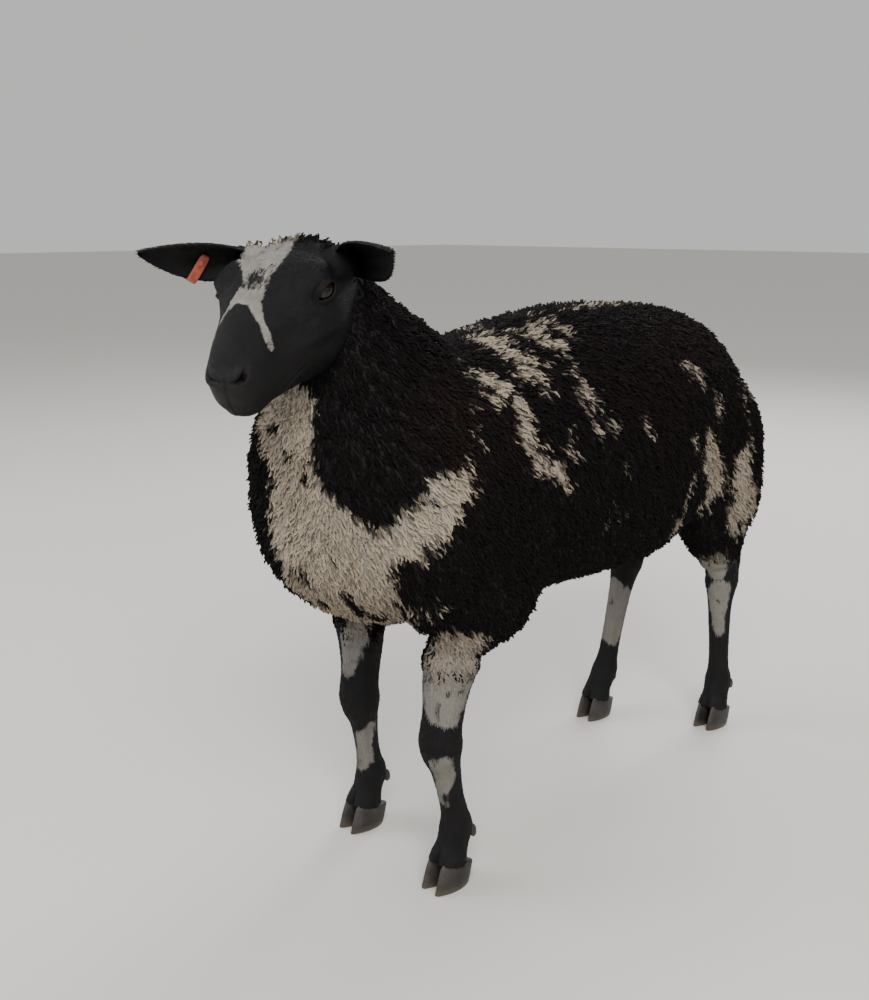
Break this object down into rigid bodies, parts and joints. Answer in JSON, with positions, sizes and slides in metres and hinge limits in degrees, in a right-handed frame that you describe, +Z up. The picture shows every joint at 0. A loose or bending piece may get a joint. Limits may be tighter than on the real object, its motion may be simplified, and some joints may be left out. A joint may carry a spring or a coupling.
{
  "type": "sheep model",
  "caption": "Life-size still model of a spotted sheep standing square, head turned to its left, short curled fleece, bare lower legs, cloven hooves and an ear tag.",
  "frame": {"origin": "on the floor, at the centre of the whole model's box seen from above", "axes": "+Z up, the animal faces -Y, +X is its left side"},
  "size_m": [0.371, 1.1306, 0.8343],
  "materials": {
    "fleece_black": "matt",
    "face_black": "matt",
    "leg_black": "matt",
    "hoof_horn": "satin",
    "eye_dark": "gloss",
    "tag_salmon": "satin"
  },
  "bodies": {
    "root": {"torso": "fleece_black", "neck": "fleece_black", "tail": "fleece_black", "thigh_left": "fleece_black", "thigh_right": "fleece_black", "foreleg_left": "leg_black", "claw_foreleg_left_inner": "hoof_horn", "claw_foreleg_left_outer": "hoof_horn", "foreleg_right": "leg_black", "claw_foreleg_right_inner": "hoof_horn", "claw_foreleg_right_outer": "hoof_horn", "hindleg_left": "leg_black", "claw_hindleg_left_inner": "hoof_horn", "claw_hindleg_left_outer": "hoof_horn", "hindleg_right": "leg_black", "claw_hindleg_right_inner": "hoof_horn", "claw_hindleg_right_outer": "hoof_horn", "head": "face_black", "eye_left": "eye_dark", "eye_right": "eye_dark", "ear_left": "face_black", "ear_right": "face_black", "ear_tag": "tag_salmon"}
  },
  "joints": []
}
